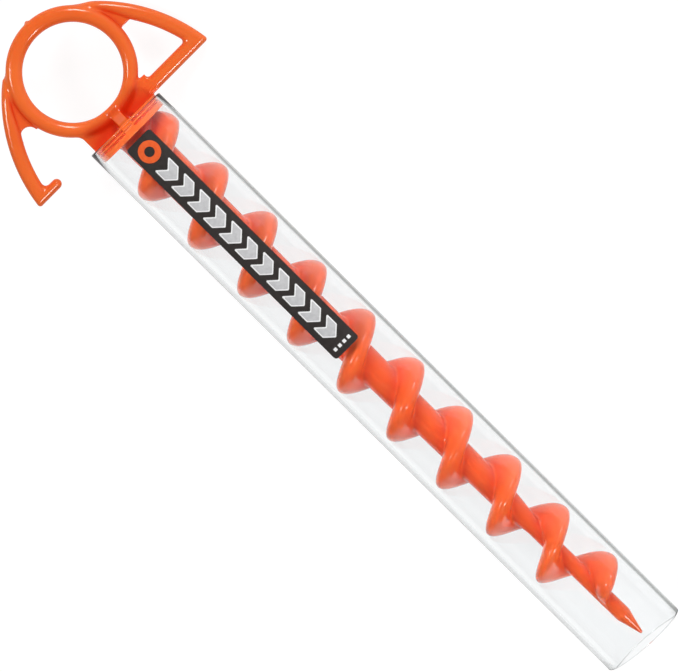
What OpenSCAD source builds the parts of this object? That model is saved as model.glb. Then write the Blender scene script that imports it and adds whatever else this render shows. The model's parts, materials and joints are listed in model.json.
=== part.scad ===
// Screw-in ground anchor with a hook-and-loop head, stored in a clear sleeve tube.
// The screw is one plastic moulding; its features are separate solids that meet face to face.
// Units are millimetres. Every module is drawn in the screw's own frame: the axis runs along X,
// x = 0 is the mouth of the tube, and the head lies flat in the XY plane. lay() then puts the
// anchor down on its side, resting on the tube and on the tip of the closed wing.

/* [Eye] */
// Radius of the round hole in the eye
eye_r = 13.9; // [13.2:0.1:14.6]
// Outer radius of the eye's ring
ring_r = 18.7; // [18:0.1:18.9]
// Thickness of the ring, across the head
ring_t = 6; // [5:0.1:7]
// Radius of the ring's rounded edges
ring_round = 1.7; // [1:0.1:1.9]
// Distance from the mouth of the tube to the centre of the eye
eye_x = 20.3; // [20:0.05:21.5]

/* [Wings] */
// Radius of the wings' outer edge
wing_r = 49; // [48.8:0.1:49.6]
// Width of the wings' arms, in the plane of the head
arm_w = 4.3; // [3.8:0.1:4.6]
// Thickness of the wings' arms, across the head
wing_t = 4.6; // [4:0.1:5.4]
// Thickness of the webs between the ring and the arms
web_t = 2; // [1.4:0.1:3]
// Width of the straight bar that closes one wing
bar_w = 4.2; // [3.8:0.1:5]
// Width of the hook's toe
toe_w = 2.9; // [2.6:0.1:3.4]
// Distance from the axis to the rounded end of the hook's toe
toe_end_y = 23.6; // [23:0.1:25.5]
// Gap between the head's straight edge and the mouth of the tube
mouth_gap = 0.35; // [0.3:0.05:0.6]

/* [Neck and plug] */
// Thickness of the flat neck plate
neck_t = 3.2; // [2.6:0.1:4]
// Distance from the axis to the neck plate's edge on the hook's side
neck_hook_y = 11.1; // [10.5:0.1:11.5]
// Distance from the axis to the neck plate's edge on the closed wing's side
neck_wing_y = 13.5; // [13:0.1:14]
// Width of the gusset ribs
rib_w = 3.3; // [2.6:0.1:4]
// Distance from the mouth of the tube to the plug's inner face
plug_end_x = 3.75; // [3:0.05:5]
// Radial clearance of the plug in the tube
plug_clearance = 0.05; // [0.02:0.01:0.1]
// Depth of the plug's grip grooves
groove_depth = 0.35; // [0.2:0.05:0.5]

/* [Shank] */
// Radius of the shank at the plug
shank_head_r = 5.6; // [5.2:0.1:5.8]
// Radius of the shank where it steps down to the drill end
shank_toe_r = 3.7; // [3.4:0.1:4]
// Radius of the fillet between the plug and the shank
shank_fillet = 1.8; // [1:0.1:2.4]
// Distance from the mouth of the tube to the step down
step_start_x = 148; // [142:0.5:151]
// Distance from the mouth of the tube to the end of the step
step_end_x = 160; // [156:0.5:164]
// Radius of the drill end
drill_r = 2.3; // [2.1:0.1:2.6]
// Distance from the mouth of the tube to the start of the point
point_start_x = 195; // [193:0.1:196]
// Distance from the mouth of the tube to the very tip
tip_x = 201.6; // [199:0.1:202]
// Radius of the blunt tip
tip_r = 0.35; // [0.2:0.05:0.5]

/* [Flight] */
// Advance of the flight in one turn
pitch = 19.2; // [18.8:0.1:19.6]
// Flight radius at the plug
flight_head_r = 11.4; // [11:0.1:11.4]
// How much smaller the flight radius is at its far end
flight_taper = 1.5; // [1:0.1:2]
// Half thickness of the flight's foot at the plug
flight_head_half = 3.6; // [3.2:0.1:3.8]
// Half thickness of the flight's foot at its far end
flight_toe_half = 3.1; // [2.8:0.1:3.4]
// Where the first crest on the closed wing's side lies along the axis
first_crest_x = 8.15; // [8:0.05:8.7]

/* [Tube] */
// Outer diameter of the sleeve tube
tube_od = 25.6; // [25.6:0.1:26]
// Wall of the sleeve tube
tube_wall = 1.2; // [1.2:0.05:1.3]
// Length of the sleeve tube
tube_l = 204.1; // [203:0.1:206]

/* [Label] */
// Length of the label along the tube
label_l = 82.2; // [70:0.1:90]
// Width of the label, measured round the tube
label_w = 9.2; // [8:0.1:11]
// Distance from the mouth of the tube to the label
label_x = 5.3; // [4:0.1:8]
// Thickness of the label film
film_t = 0.12; // [0.08:0.01:0.2]
// Thickness of the ink on the film
ink_t = 0.06; // [0.04:0.01:0.1]
// Number of chevrons printed on the label
chevrons = 11; // [6:1:12]

/* [Hidden] */
$fn = 192;
moulded = [0.94, 0.39, 0.17];
clear = [0.93, 0.95, 0.97, 0.35];
ink_black = [0.19, 0.16, 0.15];
ink_grey = [0.80, 0.80, 0.80];

// Length that runs well past any face it cuts
past = 60;
// Straight edge of the head that faces the tube
edge_x = -mouth_gap;
// Centre of the closed wing's arcs; the hook mirrors it in y
wing_c = [5.5, -15.65];
// Outermost reach of a wing from the axis
wing_y = wing_c[1] + sqrt(pow(wing_r, 2) - pow(wing_c[0] - edge_x, 2));
// Where the arms leave the ring
arm_start_x = -33.1;
// Where the closed wing's web ends
web_end_x = -19.5;
// Where the round hollow that ends the hook's web lies
hollow_x = -16.5;
hollow_play = 0.1;

tube_r = tube_od / 2;
bore_r = tube_r - tube_wall;
plug_r = bore_r - plug_clearance;
groove_x = [0.45, 1.5];
groove_w = 0.5;

// How far the flight's root is sunk in the shank, and its rim where it ends
root_sunk = 0.4;
rim_sunk = 0.2;
// Turns of the flight, counted from the closed wing's side: it starts inside the plug
first_x = 0.1;
first_turn = (first_x - first_crest_x) / pitch;
last_turn = 9.45;
// It sinks into the drill end over this last part of a turn, where its foot goes deeper by
// fade_sink and narrows to fade_foot of its width
fade_turns = 0.26;
fade_sink = 0.5;
fade_foot = 0.4;
// Power of the curve along which the rim tapers
taper_power = 2.4;
// How far inside the plug's outer face the flight starts
start_cover = 0.05;
// Rings along the flight's sweep, and points round its section
rings_per_turn = 30;
section_points = 11;

// The anchor lies on the tube and on the closed wing's tip, so it rolls by this angle
tip_reach = norm([wing_y, wing_t / 2]);
roll = asin(tube_r / tip_reach) - atan2(wing_t / 2, wing_y);
head_end_x = -(eye_x + ring_r);
middle_x = (head_end_x + tube_l) / 2;

// Middle of the label round the tube, as an angle from the closed wing's side
label_turn = 92.8;
label_angle = label_w / tube_r * 180 / PI;
// Printed emblem: its size, and the margin before it
emblem_size = 6.4;
emblem_margin = 1.5;
// Printed chevrons: margins before and after the row, gap between two, and width round the tube
row_margin = 10;
row_end_margin = 2;
chevron_gap = 1.6;
chevron_w = 5.4;

module lay() {
    translate([-middle_x, 0, tube_r])
        rotate([-roll, 0, 0])
            children();
}

// A solid of revolution about X, from a half section drawn with x along the axis and y outward
module around_x(angle = 360) {
    rotate([0, 90, 0])
        rotate([0, 0, 90])
            rotate_extrude(angle = angle, $fn = 128)
                rotate(90)
                    mirror([0, 1])
                        children();
}

// A flat feature of the head, centred on the head plane
module slab(thickness) {
    translate([0, 0, -thickness / 2])
        linear_extrude(thickness)
            children();
}

module ring_disc() {
    translate([-eye_x, 0])
        circle(ring_r);
}

module eye_ring() {
    color(moulded)
        lay()
            translate([-eye_x, 0, 0])
                rotate_extrude($fn = 128)
                    ring_section();
}

// Section of the ring: a bar with four rounded edges
module ring_section() {
    width = ring_r - eye_r;
    translate([eye_r, -ring_t / 2]) {
        translate([ring_round, 0])
            square([width - 2 * ring_round, ring_t]);
        translate([0, ring_round])
            square([width, ring_t - 2 * ring_round]);
        for (x = [ring_round, width - ring_round], y = [ring_round, ring_t - ring_round])
            translate([x, y])
                circle(ring_round, $fn = 48);
    }
}

// Disc inside the wing's outer edge, or inside a line that lies in from it
module wing_disc(inset = 0) {
    translate(wing_c)
        circle(wing_r - inset);
}

// Curved arm on the +y side, from the ring as far as end_x
module arm_outline(end_x) {
    intersection() {
        difference() {
            wing_disc();
            wing_disc(arm_w);
            ring_disc();
        }
        translate([arm_start_x, 0])
            square([end_x - arm_start_x, past]);
    }
}

// Outer edge of the ring, and inner edge of an arm, as distances from the axis
function ring_y(x) = sqrt(pow(ring_r, 2) - pow(x + eye_x, 2));
function arm_y(x) = wing_c[1] + sqrt(pow(wing_r - arm_w, 2) - pow(x - wing_c[0], 2));

// Web in the crotch between the ring and the arm, as far as end_x
module web_outline(end_x) {
    intersection() {
        difference() {
            wing_disc(arm_w);
            ring_disc();
        }
        translate([end_x - ring_r, ring_r / 2])
            square([ring_r, past]);
    }
}

module closed_wing_arm() {
    color(moulded)
        lay()
            slab(wing_t)
                arm_outline(edge_x - bar_w);
}

// Straight bar along the head's edge, from the neck to the wing's outer arc
module bar_outline() {
    intersection() {
        wing_disc();
        translate([edge_x - bar_w, neck_wing_y])
            square([bar_w, past]);
    }
}

module closed_wing_bar() {
    color(moulded)
        lay()
            slab(wing_t)
                bar_outline();
}

module closed_wing_web() {
    color(moulded)
        lay()
            slab(web_t)
                web_outline(web_end_x);
}

// The hook's toe: a short bar with a round end, turned back towards the axis
module toe_outline() {
    toe_x = edge_x - toe_w / 2;
    intersection() {
        union() {
            translate([edge_x - toe_w, toe_end_y + toe_w / 2])
                square([toe_w, past]);
            translate([toe_x, toe_end_y + toe_w / 2])
                circle(toe_w / 2, $fn = 48);
        }
        wing_disc();
    }
}

module hook_arm() {
    color(moulded)
        lay()
            mirror([0, 1, 0])
                slab(wing_t)
                    arm_outline(edge_x - toe_w);
}

module hook_toe() {
    color(moulded)
        lay()
            mirror([0, 1, 0])
                slab(wing_t)
                    toe_outline();
}

// The hollow is round, and just wide enough to reach the ring and the arm
module hook_web() {
    gap = arm_y(hollow_x) - ring_y(hollow_x);
    color(moulded)
        lay()
            mirror([0, 1, 0])
                slab(web_t)
                    difference() {
                        web_outline(hollow_x);
                        translate([hollow_x, ring_y(hollow_x) + gap / 2])
                            circle(gap / 2 + hollow_play);
                    }
}

// Flat plate that joins the ring to the plug
module neck_plate() {
    color(moulded)
        lay()
            slab(neck_t)
                difference() {
                    translate([-eye_x / 2, -neck_hook_y])
                        square([eye_x / 2 + edge_x, neck_hook_y + neck_wing_y]);
                    ring_disc();
                    translate([edge_x - bar_w, neck_wing_y])
                        square([bar_w, past]);
                }
}

// Triangular rib that rises from the ring to the top of the plug
module gusset(side) {
    foot_x = -eye_x + eye_r + ring_round;
    low = neck_t / 2;
    color(moulded)
        lay()
            mirror([0, 0, side])
                rotate([90, 0, 0])
                    translate([0, 0, -rib_w / 2])
                        linear_extrude(rib_w)
                            polygon([
                                [foot_x, low], [edge_x, low],
                                [edge_x, plug_r - groove_depth], [foot_x, ring_t / 2]
                            ]);
}

module upper_gusset() {
    gusset(0);
}

module lower_gusset() {
    gusset(1);
}

// Plug that holds the tube, with two grip grooves round it
module tube_plug() {
    color(moulded)
        lay()
            around_x()
                difference() {
                    translate([edge_x, 0])
                        square([plug_end_x - edge_x, plug_r]);
                    for (x = groove_x)
                        translate([x, plug_r - groove_depth])
                            square([groove_w, past]);
                }
}

// Tapered core of the screw, filleted to the plug and stepped down to the drill end
module shank() {
    fillet_x = plug_end_x + shank_fillet;
    fillet_r = shank_head_r + shank_fillet;
    color(moulded)
        lay()
            around_x()
                difference() {
                    polygon([
                        [plug_end_x, 0], [plug_end_x, fillet_r],
                        [fillet_x, fillet_r], [fillet_x, shank_head_r],
                        [step_start_x, shank_toe_r], [step_end_x, drill_r], [step_end_x, 0]
                    ]);
                    translate([fillet_x, fillet_r])
                        circle(shank_fillet, $fn = 48);
                }
}

module drill_end() {
    color(moulded)
        lay()
            around_x()
                polygon([
                    [step_end_x, 0], [step_end_x, drill_r], [point_start_x, drill_r],
                    [tip_x, tip_r], [tip_x, 0]
                ]);
}

// Radius of the shank or drill end at a place along the axis
function core_r(x) =
    x < step_start_x
        ? shank_head_r + (shank_toe_r - shank_head_r) * (x - plug_end_x) / (step_start_x - plug_end_x)
        : x < step_end_x
            ? shank_toe_r + (drill_r - shank_toe_r) * (x - step_start_x) / (step_end_x - step_start_x)
            : drill_r;

function flight_x(turn) = first_crest_x + pitch * turn;
function ease(t) = t * t * (3 - 2 * t);
function flight_full_r(x) =
    flight_head_r - flight_taper * pow(max(x, 0) / flight_x(last_turn), taper_power);

// How much of the flight stands: 1 along its length, falling to 0 where it ends
function standing(turn) = ease(min(1, (last_turn - turn) / fade_turns));

// Section of the flight as [offset along the axis, radius]: half an ellipse, its foot sunk in
// the shank. Near the start its near side is cut short, to stay inside the plug.
function flight_section(turn) =
    let (
        x = flight_x(turn),
        part = standing(turn),
        low_rim = core_r(x) - rim_sunk,
        rim = low_rim + (flight_full_r(x) - low_rim) * part,
        root = core_r(x) - root_sunk - (1 - part) * fade_sink,
        half = flight_head_half + (flight_toe_half - flight_head_half) * x / flight_x(last_turn),
        far_half = half * (fade_foot + (1 - fade_foot) * part),
        near_half = min(far_half, x - edge_x - start_cover)
    )
    [
        for (i = [0 : section_points - 1])
            let (t = 180 * i / (section_points - 1))
            [(t < 90 ? -near_half : -far_half) * cos(t), root + (rim - root) * sin(t)]
    ];

// Helical flight: the section is carried round the axis, right-handed
module flight() {
    rings = ceil((last_turn - first_turn) * rings_per_turn);
    sides = len(flight_section(0));
    points = [
        for (i = [0 : rings])
            let (
                turn = first_turn + (last_turn - first_turn) * i / rings,
                angle = 360 * turn
            )
            for (p = flight_section(turn))
                [flight_x(turn) + p[0], p[1] * cos(angle), p[1] * sin(angle)]
    ];
    walls = [
        for (i = [0 : rings - 1], j = [0 : sides - 1])
            let (
                a = i * sides + j,
                b = i * sides + (j + 1) % sides
            )
            each [[a, a + sides, b], [b, a + sides, b + sides]]
    ];
    ends = [
        [for (j = [0 : sides - 1]) j],
        [for (j = [0 : sides - 1]) rings * sides + sides - 1 - j]
    ];
    color(moulded)
        lay()
            polyhedron(points, concat(walls, ends), convexity = 20);
}

// Clear storage sleeve, open at both ends
module sleeve_tube() {
    color(clear)
        lay()
            rotate([0, 90, 0])
                difference() {
                    cylinder(h = tube_l, r = tube_r, $fn = 128);
                    translate([0, 0, -1])
                        cylinder(h = tube_l + 2, r = bore_r, $fn = 128);
                }
}

// A patch of film on the outside of the tube: x from and to, turn about X from and to, in degrees
module patch(x0, x1, a0, a1, low, thickness) {
    rotate([a0 + label_turn, 0, 0])
        around_x(a1 - a0)
            translate([x0, low])
                square([x1 - x0, thickness]);
}

module label_film() {
    color(ink_black)
        lay()
            patch(label_x, label_x + label_l, -label_angle / 2, label_angle / 2, tube_r, film_t);
}

module label_emblem() {
    turn = emblem_size / tube_r * 90 / PI;
    x0 = label_x + emblem_margin;
    color(moulded)
        lay()
            patch(x0, x0 + emblem_size, -turn, turn, tube_r + film_t, ink_t);
}

module label_chevrons() {
    step = (label_l - row_margin - row_end_margin) / chevrons;
    turn = chevron_w / tube_r * 90 / PI;
    color(ink_grey)
        lay()
            for (i = [0 : chevrons - 1])
                let (x0 = label_x + row_margin + i * step)
                patch(x0, x0 + step - chevron_gap, -turn, turn, tube_r + film_t, ink_t);
}

eye_ring();
closed_wing_arm();
closed_wing_bar();
closed_wing_web();
hook_arm();
hook_toe();
hook_web();
neck_plate();
upper_gusset();
lower_gusset();
tube_plug();
shank();
flight();
drill_end();
sleeve_tube();
label_film();
label_emblem();
label_chevrons();
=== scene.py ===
"""A plastic screw-in ground anchor in its clear storage tube, on a pale floor under studio light."""
import json
import math

import bmesh
import bpy
import numpy as np
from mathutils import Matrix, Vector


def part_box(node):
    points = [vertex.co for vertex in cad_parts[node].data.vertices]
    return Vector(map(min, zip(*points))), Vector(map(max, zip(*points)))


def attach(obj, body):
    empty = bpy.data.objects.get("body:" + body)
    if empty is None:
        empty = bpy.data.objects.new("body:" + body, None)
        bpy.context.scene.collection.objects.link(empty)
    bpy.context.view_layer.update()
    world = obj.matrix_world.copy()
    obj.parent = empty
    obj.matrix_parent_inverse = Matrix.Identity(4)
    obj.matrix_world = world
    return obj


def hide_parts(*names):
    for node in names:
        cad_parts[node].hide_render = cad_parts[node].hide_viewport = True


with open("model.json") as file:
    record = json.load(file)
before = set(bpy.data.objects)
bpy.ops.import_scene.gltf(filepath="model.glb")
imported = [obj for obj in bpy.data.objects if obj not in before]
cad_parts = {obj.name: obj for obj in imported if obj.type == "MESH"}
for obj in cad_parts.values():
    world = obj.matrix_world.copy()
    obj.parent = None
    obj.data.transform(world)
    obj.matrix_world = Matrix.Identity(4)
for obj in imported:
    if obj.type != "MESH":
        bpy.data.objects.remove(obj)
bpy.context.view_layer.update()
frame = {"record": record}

import openvdb
from mathutils import Matrix, Vector

# ---------------------------------------------------------------------------------------------
# The screw's own frame. Shapes are drawn in it, in millimetres: x runs along the axis from the
# mouth of the tube, y across the head towards the closed wing, and z out of the head's plane.
# ---------------------------------------------------------------------------------------------

MM = 0.001
eye_mount = next(m for m in frame["record"]["mounts"] if m["name"] == "eye")
tube_low, tube_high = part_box("sleeve_tube")
plug_low, plug_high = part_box("tube_plug")

ALONG = Vector((1, 0, 0))
OUT_OF_HEAD = Vector(eye_mount["axis"])
ACROSS = OUT_OF_HEAD.cross(ALONG)
MOUTH = Vector((tube_low.x, 0, (tube_low.z + tube_high.z) / 2))
TO_ROW = np.array([ALONG, ACROSS, OUT_OF_HEAD])


def in_row(points):
    """Points of the screw's frame, in millimetres, as points of the row frame, in metres."""
    return np.array(MOUTH) + MM * (np.asarray(points) @ TO_ROW)


# Sizes that the frame gives
EYE_R = eye_mount["dims"]["r_mm"]
EYE_X = (eye_mount["pos_m"][0] - MOUTH.x) / MM
TUBE_R = (tube_high.z - tube_low.z) / 2 / MM
TUBE_L = (tube_high.x - tube_low.x) / MM
PLUG_R = (plug_high.z - plug_low.z) / 2 / MM
PLUG_START = (plug_low.x - MOUTH.x) / MM
PLUG_END = (plug_high.x - MOUTH.x) / MM
TIP_X = (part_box("drill_end")[1].x - MOUTH.x) / MM

# The wall's thickness isn't in the frame
TUBE_WALL = 1.2

# Ring of the eye. Its outside isn't quite centred on its hole.
RING_OFF_CENTRE = 0.35
RING_X = EYE_X - RING_OFF_CENTRE
RING_R = 18.3
RING_HALF_T = 3.0
BEAD_R = 2.1
NUB_X = -38.7
NUB_Y = 0.7
NUB_R = 0.7

# Wings: arcs of one circle, drawn for the side that y points to
WING_X = 5.46
WING_Y = -15.65
WING_R = 49.0
WING_HALF_T = 2.3
WING_ROUND = 1.8
ARM_W = 4.3
ARM_THIN_W = 2.6
ARM_THIN_X = -29.2
ARM_FULL_X = -18.1
ARM_START_X = -34.1
ARM_START_SOFT = 4.5
HOOK_START_X = -32.8
HOOK_START_SOFT = 4.0
ARM_SINK = 1.1
ARM_SINK_X = -28.0
ARM_SINK_L = 5.0
WEB_HALF_T = 1.1
WEB_ROUND = 0.5
WEB_END_X = -19.5
WEB_SUNK = 1.5
WEB_FOOT_Y = RING_R / 2
BAR_X = -4.5
BAR_FOOT_Y = 10.0
BAR_FADE = 5.0
TOE_X = -3.2
TOE_END_Y = 23.6
HOLLOW_X = -16.3
HOLLOW_Y = 20.85
HOLLOW_R = 2.55
CORNER_R = 1.0
WINDOW_R = 1.3

# Neck, gussets and plug
NECK_HALF_T = 1.6
NECK_HOOK_Y = -11.1
NECK_WING_Y = 13.5
NECK_INSET = 0.4
NECK_ROUND = 0.3
RIB_HALF_W = 1.65
RIB_FOOT_X = -4.6
RIB_TOP_X = -0.2
RIB_RUN_IN = 0.8
RIB_END_X = 1.0
RIB_FOOT_SUNK = 0.1
RIB_BELOW_PLUG = 0.15
RIB_CURVE = 1.7
RIB_ROUND = 0.5
PLUG_ROUND = 0.25
GROOVES_X = (0.7, 1.75)
GROOVE_HALF_W = 0.26
GROOVE_DEPTH = 0.35
GROOVE_ROUND = 0.1

# Fillets where the parts of the moulding meet
WING_FILLET = 1.2
TOE_FILLET = 2.0
WEB_FILLET = 0.3
NECK_FILLET = 1.2
PLUG_FILLET = 0.5
RIB_FILLET = 0.8
NUB_FILLET = 0.5
FLIGHT_FILLET = 1.0

# Screw
SHANK_HEAD_R = 5.6
SHANK_TOE_R = 3.7
SHANK_FILLET = 1.8
SHANK_SUNK = 1.4
STEP_START = 148.0
STEP_END = 160.0
DRILL_R = 2.3
POINT_START = 195.0
TIP_R = 0.35
TIP_ROUND = 0.25
PITCH = 19.2
FLIGHT_R = 11.4
FLIGHT_TAPER = 1.5
TAPER_POWER = 2.4
FLIGHT_HEAD_HALF = 3.6
FLIGHT_TOE_HALF = 3.1
FIRST_CREST_X = 8.15
LAST_TURN = 9.42
FLIGHT_END_X = FIRST_CREST_X + PITCH * LAST_TURN
# The flight runs out over the last part of a turn, where its rim sinks into the shank
FADE_TURNS = 0.26
FADE_DEPTH = 0.8
FLIGHT_LEAST = 0.5
ROOT_SUNK = 0.4
BEND_AT = 167.0
BEND = 0.72

# ---------------------------------------------------------------------------------------------
# Camera: it looks down on the anchor, which lies across the picture from corner to corner
# ---------------------------------------------------------------------------------------------

# How far the axis is turned in the picture
AXIS_TURN = math.radians(44.81)
CAMERA_DISTANCE = 1.295
CAMERA_OVER_X = -11.1
AIM_X = 83.56
AIM_UP = 0.258
LENS = 247.8
SENSOR_W = 36
FURTHEST_SEEN = 20

# It stands squarely over the head's plane, and is turned a little towards the middle of the tube
TO_CAMERA = OUT_OF_HEAD
VIEW_UP = ACROSS


def make_camera():
    place = MOUTH + ALONG * CAMERA_OVER_X * MM + TO_CAMERA * CAMERA_DISTANCE
    aim = MOUTH + ALONG * AIM_X * MM + VIEW_UP * AIM_UP * MM
    back = (place - aim).normalized()
    along = (ALONG - back * ALONG.dot(back)).normalized()
    side = back.cross(along)
    right = along * math.cos(AXIS_TURN) + side * math.sin(AXIS_TURN)
    up = side * math.cos(AXIS_TURN) - along * math.sin(AXIS_TURN)
    data = bpy.data.cameras.new("camera")
    data.lens = LENS
    data.sensor_width = SENSOR_W
    data.clip_end = FURTHEST_SEEN
    camera = bpy.data.objects.new("camera", data)
    camera.matrix_world = Matrix((right, up, back)).transposed().to_4x4()
    camera.location = place
    bpy.context.scene.collection.objects.link(camera)
    bpy.context.scene.camera = camera


make_camera()

# ---------------------------------------------------------------------------------------------
# Solids as level sets: below 0 inside, 0 on the surface, and about the distance near it
# ---------------------------------------------------------------------------------------------

# Keeps divisions away from 0
TINY = 1e-6
# The flight's distances are only needed near its surface
FLIGHT_BAND = 2


def join(a, b, blend):
    """Union of two solids, with a fillet about as wide as blend."""
    near = np.maximum(blend - np.abs(a - b), 0) / blend
    return np.minimum(a, b) - near * near * blend / 4


def trim(a, b, blend):
    """Overlap of two solids, with the edge softened over blend."""
    return -join(-a, -b, blend)


def overlap(a, b, radius):
    """Overlap of two solids, with their common edge rounded to a radius."""
    u, v = a + radius, b + radius
    return np.minimum(np.maximum(u, v), 0) + np.hypot(np.maximum(u, 0), np.maximum(v, 0)) - radius


def between(t, low, high):
    """Solid of the points between two limits."""
    return np.abs(t - (low + high) / 2) - (high - low) / 2


def ease(t):
    """Goes smoothly from 0 to 1 as t does."""
    t = np.clip(t, 0, 1)
    return t * t * (3 - 2 * t)


def ring(x, y, z):
    """Ring round the eye, with rounded edges."""
    outer = np.hypot(x - RING_X, y) - RING_R
    hole = np.hypot(x - EYE_X, y) - EYE_R
    return overlap(np.maximum(outer, -hole), np.abs(z) - RING_HALF_T, BEAD_R)


def wing_arc(x, y):
    """How far a point lies outside the wing's outer arc."""
    return np.hypot(x - WING_X, y - WING_Y) - WING_R


def arm_width(x):
    return ARM_THIN_W + (ARM_W - ARM_THIN_W) * ease((x - ARM_THIN_X) / (ARM_FULL_X - ARM_THIN_X))


def arm_half_t(x):
    """Half the thickness of an arm, which thins out where it leaves the ring."""
    return WING_HALF_T - ARM_SINK * ease((ARM_SINK_X - x) / ARM_SINK_L)


def closed_wing(x, y, z):
    """The arm and the bar across its end, round one window. The bar thins out into the neck."""
    arc = wing_arc(x, y)
    frame_edge = overlap(arc, x - PLUG_START, CORNER_R)
    window = overlap(arc + arm_width(x), x - BAR_X, WINDOW_R)
    outline = np.maximum(frame_edge, -window)
    outline = trim(outline, ARM_START_X - x, ARM_START_SOFT)
    outline = np.maximum(outline, BAR_FOOT_Y - y)
    half_t = NECK_HALF_T + (arm_half_t(x) - NECK_HALF_T) * ease((y - BAR_FOOT_Y) / BAR_FADE)
    return overlap(outline, np.abs(z) - half_t, WING_ROUND)


def hook(x, y, z):
    """The arm, and the toe that turns back from its end."""
    arc = wing_arc(x, y)
    toe_w = PLUG_START - TOE_X
    toe = overlap(TOE_X - x, TOE_END_Y - y, toe_w / 2)
    toe = overlap(toe, x - PLUG_START, toe_w / 2)
    inner_edge = np.maximum(-arc - arm_width(x), BAR_FOOT_Y - y)
    outline = trim(join(inner_edge, toe, TOE_FILLET), HOOK_START_X - x, HOOK_START_SOFT)
    outline = np.maximum(outline, overlap(arc, x - PLUG_START, CORNER_R))
    return overlap(outline, np.abs(z) - arm_half_t(x), WING_ROUND)


def web(x, y, z, end):
    """Thin plate in the crotch between the ring and an arm."""
    outside_ring = RING_R - WEB_SUNK - np.hypot(x - RING_X, y)
    outline = np.maximum(wing_arc(x, y) + ARM_THIN_W / 2, outside_ring)
    outline = np.maximum(np.maximum(outline, ARM_START_X - x), end)
    outline = np.maximum(outline, WEB_FOOT_Y - y)
    return overlap(outline, np.abs(z) - WEB_HALF_T, WEB_ROUND)


def neck(x, y, z):
    """Plate between the eye and the plug."""
    length = between(x, EYE_X + EYE_R, 0) + NECK_INSET
    outline = np.maximum(between(y, NECK_HOOK_Y, NECK_WING_Y), length)
    return overlap(outline, np.abs(z) - NECK_HALF_T, NECK_ROUND)


def gussets(x, y, z):
    """Ribs above and below the neck, which rise from the ring's bead to the top of the plug."""
    rise = np.clip((x - RIB_FOOT_X) / (RIB_TOP_X - RIB_FOOT_X), 0, 1)
    foot, top = RING_HALF_T - RIB_FOOT_SUNK, PLUG_R - RIB_BELOW_PLUG
    height = foot + (top - foot) * rise**RIB_CURVE
    slope = (top - foot) * RIB_CURVE / (RIB_TOP_X - RIB_FOOT_X) * rise ** (RIB_CURVE - 1)
    lid = (np.abs(z) - height) / np.sqrt(1 + slope * slope)
    rib = overlap(np.abs(y) - RIB_HALF_W, lid, RIB_ROUND)
    return np.maximum(rib, between(x, RIB_FOOT_X - RIB_RUN_IN, RIB_END_X))


def plug(x, y, z):
    """Plug of the tube: two grooves run round it and stop at the gussets."""
    radius = np.hypot(y, z)
    body = overlap(radius - PLUG_R, between(x, PLUG_START, PLUG_END), PLUG_ROUND)
    for groove_x in GROOVES_X:
        depth = PLUG_R - GROOVE_DEPTH - radius
        groove = overlap(np.abs(x - groove_x) - GROOVE_HALF_W, depth, GROOVE_ROUND)
        groove = np.maximum(groove, RIB_HALF_W - np.abs(y))
        body = np.maximum(body, -groove)
    return body


def head(x, y, z):
    """The moulding down to its plug."""
    hollow = HOLLOW_R - np.hypot(x - HOLLOW_X, y + HOLLOW_Y)
    webs = np.minimum(
        web(x, y, z, x - WEB_END_X), web(x, -y, z, np.maximum(x - HOLLOW_X, hollow))
    )
    solid = join(ring(x, y, z), closed_wing(x, y, z), WING_FILLET)
    solid = join(solid, hook(x, -y, z), WING_FILLET)
    solid = join(solid, webs, WEB_FILLET)
    solid = join(solid, neck(x, y, z), NECK_FILLET)
    solid = np.maximum(solid, x - PLUG_START)
    solid = join(solid, plug(x, y, z), PLUG_FILLET)
    solid = join(solid, gussets(x, y, z), RIB_FILLET)
    nub = np.sqrt((x - NUB_X) ** 2 + (y - NUB_Y) ** 2 + z * z) - NUB_R
    return join(solid, nub, NUB_FILLET)


def core_radius(x):
    """Radius of the shank, its step down, the drill end and the point."""
    radius = np.interp(
        x,
        [PLUG_END, STEP_START, STEP_END, POINT_START, TIP_X],
        [SHANK_HEAD_R, SHANK_TOE_R, DRILL_R, DRILL_R, TIP_R],
    )
    past_fillet = np.clip(PLUG_END + SHANK_FILLET - x, 0, SHANK_FILLET)
    return radius + SHANK_FILLET - np.sqrt(SHANK_FILLET**2 - past_fillet**2)


def flight(x, y, z):
    """Helical flight: half an ellipse in section, with its foot on the shank."""
    angle = np.arctan2(z, y) / (2 * math.pi)
    turn = (x - FIRST_CREST_X) / PITCH
    turn = np.round(turn - angle) + angle
    middle = FIRST_CREST_X + PITCH * turn
    along = np.clip(middle, 0, None) / FLIGHT_END_X
    stands = ease((LAST_TURN - turn) / FADE_TURNS)
    root = core_radius(middle) - ROOT_SUNK
    low_rim = root - FADE_DEPTH
    rim = low_rim + (FLIGHT_R - FLIGHT_TAPER * along**TAPER_POWER - low_rim) * stands
    half = FLIGHT_HEAD_HALF + (FLIGHT_TOE_HALF - FLIGHT_HEAD_HALF) * along
    half = half * (0.5 + 0.5 * stands)
    tall = np.maximum(rim - root, FLIGHT_LEAST)
    u = (x - middle) / half
    v = np.maximum(np.hypot(y, z) - root - np.minimum(rim - root - tall, 0), 0) / tall
    size = np.hypot(u, v) + TINY
    slope = np.hypot(u / half, v / tall) / size + TINY
    return np.clip((size - 1) / slope, -FLIGHT_BAND, FLIGHT_BAND)


def screw(x, y, z):
    """The shank and its flight, which start inside the plug."""
    core = overlap(np.hypot(y, z) - core_radius(x), x - TIP_X, TIP_ROUND)
    solid = join(core, flight(x, y, z), FLIGHT_FILLET)
    return np.maximum(solid, PLUG_END - SHANK_SUNK - x)


def bend(points):
    """The long shank isn't quite straight: it leaves the axis the further the nearer its tip."""
    bent = points.copy()
    lift = BEND * (np.maximum(points[:, 0], 0) / BEND_AT) ** 2
    bent[:, 1] += lift
    return bent


# ---------------------------------------------------------------------------------------------
# Meshes
# ---------------------------------------------------------------------------------------------

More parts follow.
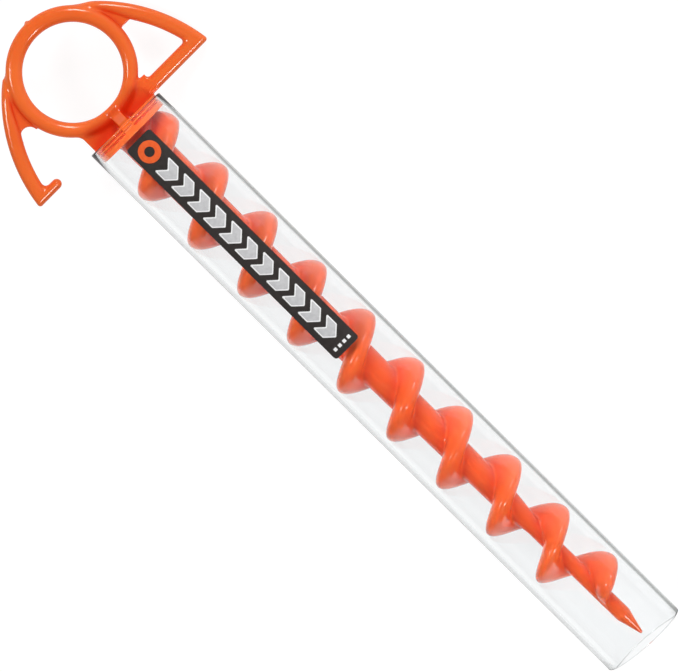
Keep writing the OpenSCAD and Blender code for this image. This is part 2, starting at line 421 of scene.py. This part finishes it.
# How many voxels deep the grid's band of distances is
BAND_VOXELS = 3
SETTLING_STEPS = 4
LEAST_SLOPE = 0.05

def slope_of(shape, points, h=0.01):
    """Gradient of a level set at some points."""
    slope = np.empty_like(points)
    for axis in range(3):
        step = np.zeros(3)
        step[axis] = h
        slope[:, axis] = (shape(*(points + step).T) - shape(*(points - step).T)) / (2 * h)
    return slope


def skin(shape, low, high, step):
    """Surface of a level set: quads from a grid of voxels, drawn onto the exact surface."""
    low, step = np.array(low, float), np.array(step, float)
    axes = [np.arange(a, b + s, s) for a, b, s in zip(low, high, step)]
    x, y, z = np.meshgrid(*axes, indexing="ij", sparse=True)
    band = BAND_VOXELS * step.max()
    values = np.clip(shape(x, y, z), -band, band).astype(np.float32)
    grid = openvdb.FloatGrid(band)
    grid.copyFromArray(values)
    points, quads = grid.convertToQuads()
    points = low + points.astype(float) * step
    for _ in range(SETTLING_STEPS):
        slope = slope_of(shape, points)
        steep = np.maximum((slope**2).sum(1), LEAST_SLOPE)
        move = slope * (shape(*points.T) / steep)[:, None]
        points -= np.clip(move, -step, step)
    normals = slope_of(shape, points)
    normals /= np.maximum(np.linalg.norm(normals, axis=1), TINY)[:, None]
    corners = points[quads]
    facing = np.cross(corners[:, 2] - corners[:, 0], corners[:, 3] - corners[:, 1])
    if (facing * normals[quads[:, 0]]).sum() < 0:
        quads = quads[:, ::-1]
    return points, quads, normals


def add_piece(name, points, faces, body, material, nodes=(), normals=None):
    """A smooth piece from points in the screw's frame. It rides on a body and stands for nodes."""
    mesh = bpy.data.meshes.new(name)
    faces = faces.tolist() if isinstance(faces, np.ndarray) else faces
    mesh.from_pydata(in_row(points).tolist(), [], faces)
    mesh.shade_smooth()
    if normals is not None:
        mesh.normals_split_custom_set_from_vertices((normals @ TO_ROW).tolist())
    mesh.materials.append(material)
    piece = bpy.data.objects.new(name, mesh)
    bpy.context.scene.collection.objects.link(piece)
    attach(piece, body)
    if nodes:
        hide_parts(*nodes)
    return piece


def lathe(profile, sides):
    """Points and faces of a closed profile of (x, radius) pairs, carried round the axis."""
    count = len(profile)
    points = [
        (x, r * math.cos(2 * math.pi * i / sides), r * math.sin(2 * math.pi * i / sides))
        for i in range(sides)
        for x, r in profile
    ]
    faces = []
    for i in range(sides):
        here, there = i * count, (i + 1) % sides * count
        for j in range(count):
            k = (j + 1) % count
            faces.append((here + j, there + j, there + k, here + k))
    return points, faces


def arc(centre, radius, start, end, steps):
    """Points on an arc, with angles in degrees."""
    angles = [math.radians(start + (end - start) * i / steps) for i in range(steps + 1)]
    return [(centre[0] + radius * math.cos(a), centre[1] + radius * math.sin(a)) for a in angles]


def circle(centre, radius, sides):
    """Points on a whole circle."""
    return arc(centre, radius, 0, 360 - 360 / sides, sides - 1)


def round_corners(corners, radius, steps=6):
    """An outline with an arc in place of each of its corners."""
    outline = []
    for i, corner in enumerate(corners):
        p = Vector(corner)
        before = (Vector(corners[i - 1]) - p).normalized()
        after = (Vector(corners[(i + 1) % len(corners)]) - p).normalized()
        half = before.angle(after) / 2
        centre = p + (before + after).normalized() * radius / math.sin(half)
        first = p + before * radius / math.tan(half) - centre
        last = p + after * radius / math.tan(half) - centre
        for k in range(steps + 1):
            outline.append(tuple(centre + first.slerp(last, k / steps) * radius))
    return outline


# ---------------------------------------------------------------------------------------------
# Materials
# ---------------------------------------------------------------------------------------------

BLACK = (0, 0, 0)
WHITE = (1, 1, 1)
# Deep red of the painted shade in hollows and recesses, and how far the occlusion reaches to find
# them
PAINTED_SHADE_ORANGE = (0.80, 0.048, 0.008)
PAINTED_SHADE_REACH = 0.009
CLEAR_COLOUR = (0.99, 0.995, 1)
# Grey of the painted shade along the tube's outlines and on its cut ends
EDGE_SHADE = (0.22, 0.23, 0.22)
SHADOW_COLOUR = (0.80, 0.81, 0.82)
TINT_COLOUR = (0.62, 0.72, 0.70)
TINT_DENSITY = 32
FLOOR_DARK = (0.13, 0.13, 0.13)
FLOOR_LIGHT = (0.14, 0.14, 0.14)
# How bright the floor is to the camera, and in reflections
FLOOR_GLOW = (0.92, 0.4)


class Nodes:
    """Builds a material's node tree, one short call per node."""

    def __init__(self, name):
        self.material = bpy.data.materials.new(name)
        self.material.use_nodes = True
        self.tree = self.material.node_tree
        self.shader = self.tree.nodes["Principled BSDF"]
        self.output = self.tree.nodes["Material Output"]
        self.place = self.add("ShaderNodeTexCoord").outputs["Object"]

    def add(self, kind, **settings):
        node = self.tree.nodes.new(kind)
        for key, value in settings.items():
            setattr(node, key, value)
        return node

    def link(self, source, target):
        self.tree.links.new(source, target)

    def set(self, **values):
        """Sets the shader's own sockets; an underscore in a name stands for a space."""
        for key, value in values.items():
            self.shader.inputs[key.replace("_", " ")].default_value = value

    def noise(self, scale, detail=2.0, roughness=0.5, stretch=None):
        node = self.add("ShaderNodeTexNoise")
        node.inputs["Scale"].default_value = scale
        node.inputs["Detail"].default_value = detail
        node.inputs["Roughness"].default_value = roughness
        source = self.place
        if stretch:
            mapping = self.add("ShaderNodeMapping")
            mapping.inputs["Scale"].default_value = stretch
            self.link(self.place, mapping.inputs["Vector"])
            source = mapping.outputs["Vector"]
        self.link(source, node.inputs["Vector"])
        return node.outputs["Fac"]

    def ramp(self, factor, *stops):
        """A colour ramp with (position, colour) stops."""
        node = self.add("ShaderNodeValToRGB")
        elements = node.color_ramp.elements
        while len(elements) < len(stops):
            elements.new(0.5)
        for element, (position, colour) in zip(elements, stops):
            element.position = position
            element.color = (*colour, 1)
        self.link(factor, node.inputs["Fac"])
        return node.outputs["Color"]

    def levels(self, factor, low, high):
        """Brings a noise's middle range to low ... high."""
        return self.map(factor, (0.3, 0.7), (low, high))

    def math(self, operation, a, b):
        node = self.add("ShaderNodeMath", operation=operation)
        self.link(a, node.inputs[0])
        self.link(b, node.inputs[1])
        return node.outputs["Value"]

    def product(self, a, b):
        return self.math("MULTIPLY", a, b)

    def times(self, vector, factors):
        node = self.add("ShaderNodeVectorMath", operation="MULTIPLY")
        self.link(vector, node.inputs[0])
        node.inputs[1].default_value = factors
        return node.outputs["Vector"]

    def dot(self, vector, direction):
        node = self.add("ShaderNodeVectorMath", operation="DOT_PRODUCT")
        self.link(vector, node.inputs[0])
        node.inputs[1].default_value = direction
        return node.outputs["Value"]

    def map(self, value, given, wanted):
        """Maps the range given to the range wanted."""
        node = self.add("ShaderNodeMapRange")
        for key, number in zip(("From Min", "From Max", "To Min", "To Max"), given + wanted):
            node.inputs[key].default_value = number
        self.link(value, node.inputs["Value"])
        return node.outputs["Result"]

    def facing(self, direction, low, high, value):
        """Value where the surface faces a direction or its opposite, and 0 elsewhere."""
        along = self.dot(self.add("ShaderNodeNewGeometry").outputs["Normal"], direction)
        size = self.add("ShaderNodeMath", operation="ABSOLUTE")
        self.link(along, size.inputs[0])
        return self.map(size.outputs["Value"], (low, high), (0, value))

    def bump(self, height, strength, distance, onto=None):
        node = self.add("ShaderNodeBump")
        node.inputs["Strength"].default_value = strength
        node.inputs["Distance"].default_value = distance
        self.link(height, node.inputs["Height"])
        if onto is not None:
            self.link(onto, node.inputs["Normal"])
        return node.outputs["Normal"]


def moulding_material(name, dark, light, gloss, roughness):
    """Glossy, slightly translucent orange plastic with faint ripples. Painted shade makes it darker
    and redder in its hollows.
    """
    n = Nodes(name)
    n.set(IOR=1.47, Subsurface_Weight=0.2, Subsurface_Scale=0.0012)
    n.set(Subsurface_Radius=(1.0, 0.25, 0.06), Specular_IOR_Level=gloss)
    clouds = n.noise(55, 3)
    open_colour = n.ramp(clouds, (0.3, dark), (0.7, light))
    # Painted shade: ambient occlusion darkens the colour towards the deep red in hollows and
    # recesses
    open_sky = n.add("ShaderNodeAmbientOcclusion", only_local=True, samples=8)
    open_sky.inputs["Distance"].default_value = PAINTED_SHADE_REACH
    depth = n.ramp(open_sky.outputs["AO"], (0.58, BLACK), (1.0, WHITE))
    colour = n.add("ShaderNodeMix", data_type="RGBA")
    n.link(depth, colour.inputs["Factor"])
    colour.inputs["A"].default_value = (*PAINTED_SHADE_ORANGE, 1)
    n.link(open_colour, colour.inputs["B"])
    n.link(colour.outputs["Result"], n.shader.inputs["Base Color"])
    streaks = n.noise(240, 3, 0.6, stretch=(0.2, 1, 1))
    n.link(n.levels(streaks, *roughness), n.shader.inputs["Roughness"])
    ripple = n.bump(n.noise(160, 2, 0.4), 0.12, 0.0004)
    n.link(n.bump(n.noise(1900, 2), 0.05, 0.0001, ripple), n.shader.inputs["Normal"])
    return n.material


def tube_material():
    """Clear extruded plastic. Light from the lamps passes it, as it does through a thin wall."""
    n = Nodes("clear_tube")
    n.set(IOR=1.49, Transmission_Weight=1.0)
    lines = n.noise(60, 1, 0.4, stretch=(0.1, 1, 1))
    frosted = n.facing(ALONG, 0.5, 0.9, 0.45)
    smooth = n.levels(lines, 0.0, 0.012)
    n.link(n.math("MAXIMUM", smooth, frosted), n.shader.inputs["Roughness"])
    n.link(n.bump(lines, 0.02, 0.0001), n.shader.inputs["Normal"])
    # Painted shade: a dark line beside each outline of the outer wall, stronger on the closed wing's
    # side, standing in for the wall's dark refraction there
    grazing = n.add("ShaderNodeLayerWeight").outputs["Facing"]
    line = n.ramp(grazing, (0.58, BLACK), (0.64, WHITE), (0.75, WHITE), (0.85, BLACK))
    off_mouth = n.add("ShaderNodeVectorMath", operation="SUBTRACT")
    n.link(n.place, off_mouth.inputs[0])
    off_mouth.inputs[1].default_value = MOUTH
    off_axis = n.times(off_mouth.outputs["Vector"], (0, 1, 1))
    radius = n.add("ShaderNodeVectorMath", operation="LENGTH")
    n.link(off_axis, radius.inputs[0])
    inner, outer = (TUBE_R - TUBE_WALL) * MM, TUBE_R * MM
    line = n.product(line, n.map(radius.outputs["Value"], (inner, outer), (0, 1)))
    side = n.dot(off_axis, VIEW_UP)
    line = n.product(line, n.map(side, (-outer / 2, outer / 2), (0.3, 1)))
    # Painted shade too: the cut faces of the two ends are darkened, and darker at the far end
    along = n.dot(off_mouth.outputs["Vector"], ALONG)
    cut_shade = n.map(along, (0, TUBE_L * MM), (0.35, 0.65))
    cut_face = n.product(n.facing(ALONG, 0.25, 0.7, 1.0), cut_shade)
    dark = n.math("MAXIMUM", line, cut_face)
    n.link(n.ramp(dark, (0, CLEAR_COLOUR), (1, EDGE_SHADE)), n.shader.inputs["Base Color"])
    # Shadow rays pass the wall
    let_through = n.add("ShaderNodeBsdfTransparent")
    let_through.inputs["Color"].default_value = (*SHADOW_COLOUR, 1)
    light_path = n.add("ShaderNodeLightPath")
    mix = n.add("ShaderNodeMixShader")
    n.link(light_path.outputs["Is Shadow Ray"], mix.inputs["Fac"])
    n.link(n.shader.outputs["BSDF"], mix.inputs[1])
    n.link(let_through.outputs["BSDF"], mix.inputs[2])
    n.link(mix.outputs["Shader"], n.output.inputs["Surface"])
    tint = n.add("ShaderNodeVolumeAbsorption")
    tint.inputs["Color"].default_value = (*TINT_COLOUR, 1)
    tint.inputs["Density"].default_value = TINT_DENSITY
    n.link(tint.outputs["Volume"], n.output.inputs["Volume"])
    return n.material


def print_material(name, dark, light, roughness):
    """Satin print on film: a slightly mottled colour, and a fine grain."""
    n = Nodes(name)
    n.set(Specular_IOR_Level=0.4)
    mottle = n.noise(900, 3, 0.6)
    n.link(n.ramp(mottle, (0.3, dark), (0.7, light)), n.shader.inputs["Base Color"])
    n.link(n.levels(mottle, roughness - 0.05, roughness + 0.05), n.shader.inputs["Roughness"])
    n.link(n.bump(n.noise(3000, 2), 0.08, 0.00005), n.shader.inputs["Normal"])
    return n.material


def floor_material():
    """A pale table that glows softly, as a light table does, so that shadows stay faint.

    It glows less in reflections, as a flagged table does, so that they don't veil the tube.
    """
    n = Nodes("pale_floor")
    shades = n.noise(6, 2)
    n.link(n.ramp(shades, (0.3, FLOOR_DARK), (0.7, FLOOR_LIGHT)), n.shader.inputs["Base Color"])
    n.set(Roughness=0.9, Specular_IOR_Level=0.1)
    n.set(Emission_Color=(1, 1, 1, 1))
    path = n.add("ShaderNodeLightPath").outputs
    reflected = n.math("SUBTRACT", path["Is Glossy Ray"], path["Is Transmission Ray"])
    n.link(n.map(reflected, (0, 1), FLOOR_GLOW), n.shader.inputs["Emission Strength"])
    return n.material


orange = moulding_material(
    "orange_moulding", (0.85, 0.138, 0.023), (0.90, 0.170, 0.032), 0.42, (0.10, 0.17)
)
# Painted shade: the screw gets a darker, redder copy of the moulding's colour, standing in for the
# shade inside the tube
shaded_shank_orange = moulding_material(
    "orange_shank_shaded", (0.77, 0.098, 0.017), (0.81, 0.118, 0.022), 0.50, (0.07, 0.12)
)
clear = tube_material()
film_black = print_material("film_black", (0.022, 0.018, 0.016), (0.032, 0.025, 0.023), 0.45)
print_orange = print_material("print_orange", (0.80, 0.10, 0.015), (0.88, 0.13, 0.022), 0.45)
print_grey = print_material("print_grey", (0.52, 0.52, 0.53), (0.62, 0.62, 0.63), 0.5)
print_white = print_material("print_white", (0.85, 0.85, 0.85), (0.92, 0.92, 0.92), 0.5)

# ---------------------------------------------------------------------------------------------
# The moulding
# ---------------------------------------------------------------------------------------------

HEAD_NODES = (
    "eye_ring", "closed_wing_arm", "closed_wing_bar", "closed_wing_web", "hook_arm", "hook_toe",
    "hook_web", "neck_plate", "upper_gusset", "lower_gusset", "tube_plug",
)
HEAD_LOW, HEAD_HIGH = (-41, -35, -12.4), (4.6, 35, 12.4)
HEAD_STEP = (0.24, 0.24, 0.25)
SCREW_STEP = (0.42, 0.42, 0.42)
SCREW_MARGIN = 1


def add_head():
    points, quads, normals = skin(head, HEAD_LOW, HEAD_HIGH, HEAD_STEP)
    add_piece("hook_and_eye_head", points, quads, "screw", orange, HEAD_NODES, normals)


def add_screw():
    reach = FLIGHT_R + SCREW_MARGIN
    low = (PLUG_END - 2 * SCREW_MARGIN, -reach, -reach)
    high = (TIP_X + SCREW_MARGIN, reach, reach)
    points, quads, normals = skin(screw, low, high, SCREW_STEP)
    nodes = ("shank", "flight", "drill_end")
    add_piece("screw_shank", bend(points), quads, "screw", shaded_shank_orange, nodes, normals)


# ---------------------------------------------------------------------------------------------
# The tube
# ---------------------------------------------------------------------------------------------

TUBE_EDGE = 0.32
TUBE_EDGE_STEPS = 4
TUBE_SIDES = 192
TUBE_LENGTHS = 24
# The tube's ends are cut a little out of square
MOUTH_SKEW = 0.45
FAR_END_SKEW = 0.77


def straight(start, end, steps):
    """Points between two ends of a straight stretch, without the ends themselves."""
    return [
        tuple(a + (b - a) * i / steps for a, b in zip(start, end))
        for i in range(1, steps)
    ]


def add_tube():
    outer, inner, r = TUBE_R, TUBE_R - TUBE_WALL, TUBE_EDGE
    profile = arc((r, outer - r), r, 180, 90, TUBE_EDGE_STEPS)
    profile += straight((r, outer), (TUBE_L - r, outer), TUBE_LENGTHS)
    profile += arc((TUBE_L - r, outer - r), r, 90, 0, TUBE_EDGE_STEPS)
    profile += arc((TUBE_L - r, inner + r), r, 0, -90, TUBE_EDGE_STEPS)
    profile += straight((TUBE_L - r, inner), (r, inner), TUBE_LENGTHS)
    profile += arc((r, inner + r), r, -90, -180, TUBE_EDGE_STEPS)
    points, faces = lathe(profile, TUBE_SIDES)
    points = np.array(points)
    skew = MOUTH_SKEW + (FAR_END_SKEW - MOUTH_SKEW) * points[:, 0] / TUBE_L
    points[:, 0] += skew * points[:, 1] / TUBE_R
    add_piece("sleeve", points, faces, "tube", clear, ["sleeve_tube"])


# ---------------------------------------------------------------------------------------------
# The label: a film on the tube and its print, in plain shapes without any lettering
# ---------------------------------------------------------------------------------------------

LABEL_X = 5.3
LABEL_L = 81.4
LABEL_W = 9.2
LABEL_TURN = math.radians(92.8)
LABEL_R = 1.0
FILM_T = 0.12
PRINT_T = 0.03
EMBLEM_X = 9.95
EMBLEM_R = 3.2
EMBLEM_CENTRE_R = EMBLEM_R * 0.45
ROW_START = 15.2
ROW_END = 82.6
CHEVRONS = 11
CHEVRON_H = 5.5
CHEVRON_BAND = 3.1
CHEVRON_POINT = 2.2
CHEVRON_CORNER_R = 0.2
OUTLINE_W = 0.35
OUTLINE_CORNER_R = 0.3
DOTS_X = 84.5
DOTS = 4
DOT = 1.0
DOT_SPACING = 1.7
DOT_CORNER_R = 0.12
# A sheet is bent round the tube in strips about this wide
STRIP_W = 0.4
SHARP_ANGLE = math.radians(40)


def add_patch(name, outline, low, thickness, material, node=None):
    """A thin sheet wrapped round the tube. Its outline is in (x, distance round the tube)."""
    sheet = bmesh.new()
    sheet.faces.new([sheet.verts.new((x, s, 0)) for x, s in outline])
    half = max(abs(s) for _, s in outline)
    cuts = max(2, round(2 * half / STRIP_W))
    for i in range(1, cuts):
        everything = sheet.verts[:] + sheet.edges[:] + sheet.faces[:]
        level = (0, -half + 2 * half * i / cuts, 0)
        bmesh.ops.bisect_plane(sheet, geom=everything, plane_co=level, plane_no=(0, 1, 0))
    bmesh.ops.triangulate(sheet, faces=sheet.faces[:])
    base = sheet.faces[:]
    top = bmesh.ops.extrude_face_region(sheet, geom=base, use_keep_orig=True)["geom"]
    raised = {v for v in top if isinstance(v, bmesh.types.BMVert)}
    for v in sheet.verts:
        radius = low + (thickness if v in raised else 0)
        angle = LABEL_TURN - v.co.y / (TUBE_R + FILM_T)
        v.co = (v.co.x, radius * math.cos(angle), radius * math.sin(angle))
    bmesh.ops.recalc_face_normals(sheet, faces=sheet.faces[:])
    sheet.verts.index_update()
    points = [tuple(v.co) for v in sheet.verts]
    faces = [tuple(v.index for v in f.verts) for f in sheet.faces]
    sheet.free()
    piece = add_piece(name, points, faces, "tube", material, [node] if node else ())
    piece.data.set_sharp_from_angle(angle=SHARP_ANGLE)
    return piece


def chevron(x, half):
    """Outline of a bent band that points along the tube."""
    end = x + CHEVRON_BAND
    return [
        (x, -half), (end, -half), (end + CHEVRON_POINT, 0), (end, half),
        (x, half), (x + CHEVRON_POINT, 0),
    ]


def grown(outline, by):
    """A convex or concave outline moved outwards by a distance, corner by corner."""
    moved = []
    for i, corner in enumerate(outline):
        p = Vector(corner)
        before = (p - Vector(outline[i - 1])).normalized()
        after = (Vector(outline[(i + 1) % len(outline)]) - p).normalized()
        out_before, out_after = Vector((before.y, -before.x)), Vector((after.y, -after.x))
        out = (out_before + out_after).normalized()
        moved.append(tuple(p + out * by / out.dot(out_before)))
    return moved


def add_label():
    half = LABEL_W / 2
    film = [
        (LABEL_X, -half), (LABEL_X + LABEL_L, -half),
        (LABEL_X + LABEL_L, half), (LABEL_X, half),
    ]
    outline = round_corners(film, LABEL_R)
    add_patch("label", outline, TUBE_R, FILM_T, film_black, "label_film")
    on_film = TUBE_R + FILM_T
    disc = circle((EMBLEM_X, 0), EMBLEM_R, 48)
    add_patch("label_disc", disc, on_film, PRINT_T, print_orange, "label_emblem")
    centre = circle((EMBLEM_X, 0), EMBLEM_CENTRE_R, 36)
    add_patch("label_disc_centre", centre, on_film + PRINT_T, PRINT_T, film_black)
    step = (ROW_END - ROW_START) / CHEVRONS
    for i in range(CHEVRONS):
        shape = chevron(ROW_START + i * step, CHEVRON_H / 2 - OUTLINE_W)
        node = "label_chevrons" if i == 0 else None
        outline = round_corners(grown(shape, OUTLINE_W), OUTLINE_CORNER_R)
        name = f"label_outline_{i + 1}"
        add_patch(name, outline, on_film, PRINT_T, print_white, node)
        outline = round_corners(shape, CHEVRON_CORNER_R)
        name = f"label_chevron_{i + 1}"
        add_patch(name, outline, on_film + PRINT_T, PRINT_T, print_grey)
    for i in range(DOTS):
        s = (i - (DOTS - 1) / 2) * DOT_SPACING
        r = DOT / 2
        square = arc((DOTS_X, s), r * math.sqrt(2), 45, 315, 3)
        outline = round_corners(square, DOT_CORNER_R)
        name = f"label_dot_{i + 1}"
        add_patch(name, outline, on_film, PRINT_T, print_white)


add_head()
add_screw()
add_tube()
add_label()

# ---------------------------------------------------------------------------------------------
# Floor and studio light
# ---------------------------------------------------------------------------------------------

FLOOR_HALF = 4.0
# The sky goes from the first shade to the second where it lies this far to the side
SKY_SIDE = (0.1, 0.95)
SKY_SHADES = (0.16, 0.62)
# Name, place, size and power of each lamp
SOFTBOXES = (
    ("softbox_left", (-0.73, 0.97, 0.59), (0.28, 0.42), 6.8),
    ("softbox_right", (-0.73, -0.41, 1.06), (0.28, 0.42), 6.8),
    ("softbox_tip", (0.92, 0.30, 0.87), (0.2, 0.36), 6),
)


def add_floor():
    mesh = bpy.data.meshes.new("floor")
    corners = [(-1, -1), (1, -1), (1, 1), (-1, 1)]
    mesh.from_pydata([(FLOOR_HALF * x, FLOOR_HALF * y, 0) for x, y in corners], [], [(0, 1, 2, 3)])
    mesh.materials.append(floor_material())
    floor = bpy.data.objects.new("floor", mesh)
    bpy.context.scene.collection.objects.link(floor)


def add_softbox(name, place, size, power):
    """A rectangular lamp that faces the anchor."""
    data = bpy.data.lights.new(name, "AREA")
    data.shape = "RECTANGLE"
    data.size, data.size_y = size
    data.energy = power
    lamp = bpy.data.objects.new(name, data)
    lamp.location = place
    lamp.rotation_euler = (-Vector(place)).to_track_quat("-Z", "Y").to_euler()
    bpy.context.scene.collection.objects.link(lamp)


def add_sky():
    """A dim studio that brightens smoothly towards one side of the anchor."""
    world = bpy.data.worlds.new("studio")
    world.use_nodes = True
    tree = world.node_tree
    direction = tree.nodes.new("ShaderNodeTexCoord")
    across = tree.nodes.new("ShaderNodeVectorMath")
    across.operation = "DOT_PRODUCT"
    across.inputs[1].default_value = VIEW_UP
    tree.links.new(direction.outputs["Generated"], across.inputs[0])
    shade = tree.nodes.new("ShaderNodeMapRange")
    shade.interpolation_type = "SMOOTHSTEP"
    for key, value in zip(("From Min", "From Max", "To Min", "To Max"), SKY_SIDE + SKY_SHADES):
        shade.inputs[key].default_value = value
    tree.links.new(across.outputs["Value"], shade.inputs["Value"])
    background = tree.nodes["Background"]
    background.inputs["Color"].default_value = (1, 1, 1, 1)
    tree.links.new(shade.outputs["Result"], background.inputs["Strength"])
    bpy.context.scene.world = world


add_floor()
add_sky()
for softbox in SOFTBOXES:
    add_softbox(*softbox)
bpy.context.scene.view_settings.view_transform = "Standard"
